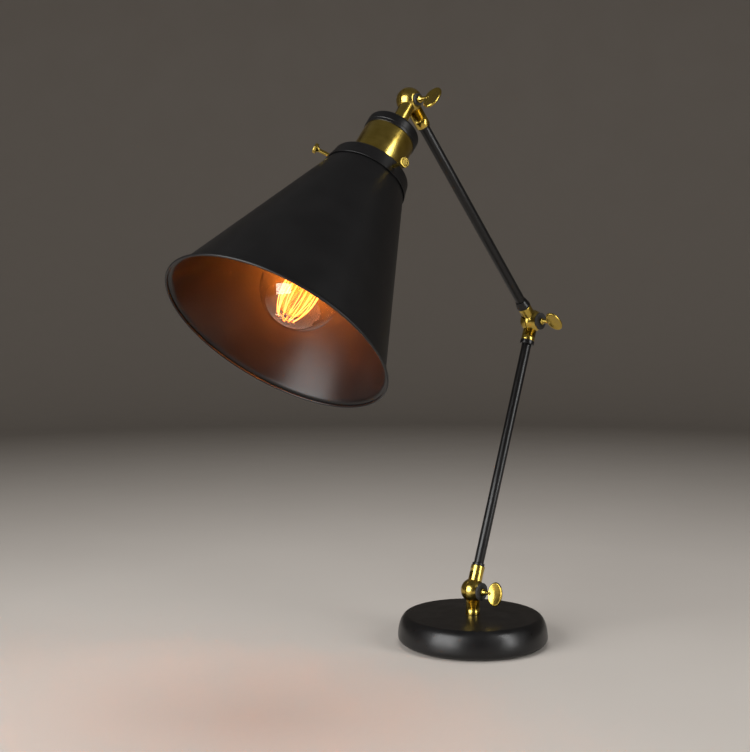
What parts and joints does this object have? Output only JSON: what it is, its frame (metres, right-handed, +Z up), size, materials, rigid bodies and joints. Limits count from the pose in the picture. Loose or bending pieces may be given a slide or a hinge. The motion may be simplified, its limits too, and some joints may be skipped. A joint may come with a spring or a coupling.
{
  "type": "desk lamp",
  "caption": "Adjustable desk lamp: weighted round base, two black tube arms with brass swivel joints and thumb screws, brass lampholder, globe bulb and conical metal shade.",
  "frame": {"origin": "centre of the base's underside, on the surface the lamp stands on", "axes": "+Z up, arms swing in the XZ plane, shade towards -X, thumb screws towards -Y"},
  "size_m": [0.4629, 0.2078, 0.5395],
  "materials": {
    "black_steel": "satin",
    "iron": "matte",
    "zinc_steel": "satin",
    "brass": "polished",
    "black_aluminium": "satin",
    "rubber": "matte",
    "fibre": "matte",
    "ivory_plastic": "gloss",
    "wire_insulation": "matte",
    "black_plastic": "gloss",
    "porcelain": "gloss",
    "nickel": "polished",
    "clear_glass": "polished",
    "mount_glass": "polished",
    "tungsten": "glowing"
  },
  "bodies": {
    "base": {"base_cover": "black_steel", "base_weight": "iron", "base_plate": "zinc_steel", "plate_screws": "zinc_steel", "base_pad": "rubber", "cord_grommet": "rubber", "connector_block": "ivory_plastic", "connector_screws": "zinc_steel", "base_leads": "wire_insulation", "base_nipple": "zinc_steel", "base_washer": "zinc_steel", "base_nut": "zinc_steel", "stem_half": "brass", "lower_friction_washer": "fibre"},
    "lower_screw": {"lower_thumb_screw": "brass"},
    "lower_arm": {"lower_arm_foot_half": "brass", "lower_clamp_washer": "rubber", "lower_arm_foot_ring": "black_steel", "lower_arm_tube": "black_steel", "lower_arm_top_ring": "black_steel", "lower_arm_top_half": "brass", "elbow_friction_washer": "fibre", "lower_arm_leads": "wire_insulation"},
    "elbow_screw": {"elbow_thumb_screw": "brass"},
    "upper_arm": {"upper_arm_foot_half": "brass", "elbow_clamp_washer": "rubber", "upper_arm_foot_ring": "black_steel", "upper_arm_tube": "black_steel", "upper_arm_top_ring": "black_steel", "upper_arm_top_half": "brass", "head_friction_washer": "fibre", "upper_arm_leads": "wire_insulation"},
    "head_screw": {"head_thumb_screw": "brass"},
    "head": {"head_half": "brass", "head_clamp_washer": "rubber", "holder_nipple": "zinc_steel", "holder_nut": "zinc_steel", "holder_cap": "black_steel", "holder_shell": "brass", "socket_body": "porcelain", "screw_shell": "brass", "centre_contact": "brass", "terminal_screws": "brass", "head_leads": "wire_insulation", "shade_holder": "black_steel", "shade_ring_nut": "black_steel", "shade": "black_aluminium"},
    "front_shade_screw": {"shade_screw_front": "brass"},
    "rear_shade_screw": {"shade_screw_rear": "brass"},
    "arm_shade_screw": {"shade_screw_arm": "brass"},
    "bulb": {"bulb_cap": "nickel", "bulb_insulator": "black_plastic", "bulb_contact": "nickel", "bulb_glass": "clear_glass", "bulb_mount": "mount_glass", "bulb_filament": "tungsten", "filament_supports": "nickel"}
  },
  "joints": [
    {"name": "lower_joint", "type": "hinge", "parent": "base", "child": "lower_arm", "pos_m": [0, 0, 0.053], "axis": [0, 1, 0], "range_deg": [-40, 60]},
    {"name": "elbow_joint", "type": "hinge", "parent": "lower_arm", "child": "upper_arm", "pos_m": [0.09811, 0, 0.32111], "axis": [0, 1, 0], "range_deg": [-40, 85]},
    {"name": "head_joint", "type": "hinge", "parent": "upper_arm", "child": "head", "pos_m": [-0.09913, 0, 0.52752], "axis": [0, 1, 0], "range_deg": [-14, 60]},
    {"name": "lower_screw_turn", "type": "hinge", "parent": "base", "child": "lower_screw", "pos_m": [0, 0, 0.053], "axis": [0, -1, 0], "range_deg": [0, 180]},
    {"name": "elbow_screw_turn", "type": "hinge", "parent": "lower_arm", "child": "elbow_screw", "pos_m": [0.09811, 0, 0.32111], "axis": [0, -1, 0], "range_deg": [0, 180]},
    {"name": "head_screw_turn", "type": "hinge", "parent": "upper_arm", "child": "head_screw", "pos_m": [-0.09913, 0, 0.52752], "axis": [0, -1, 0], "range_deg": [0, 180]},
    {"name": "front_shade_screw_turn", "type": "hinge", "parent": "head", "child": "front_shade_screw", "pos_m": [-0.16528, -0.04079, 0.46051], "axis": [-0.1743, -0.9744, 0.1422], "range_deg": [0, 360]},
    {"name": "rear_shade_screw_turn", "type": "hinge", "parent": "head", "child": "rear_shade_screw", "pos_m": [-0.18082, 0.02481, 0.47319], "axis": [-0.5668, 0.682, 0.4622], "range_deg": [0, 360]},
    {"name": "arm_shade_screw_turn", "type": "hinge", "parent": "head", "child": "arm_shade_screw", "pos_m": [-0.12903, 0.00938, 0.43095], "axis": [0.7411, 0.2924, -0.6044], "range_deg": [0, 360]},
    {"name": "bulb_turn", "type": "hinge", "parent": "head", "child": "bulb", "pos_m": [-0.17264, -0.0022, 0.43739], "axis": [-0.632, 0, -0.7749], "range_deg": [0, 360]}
  ]
}
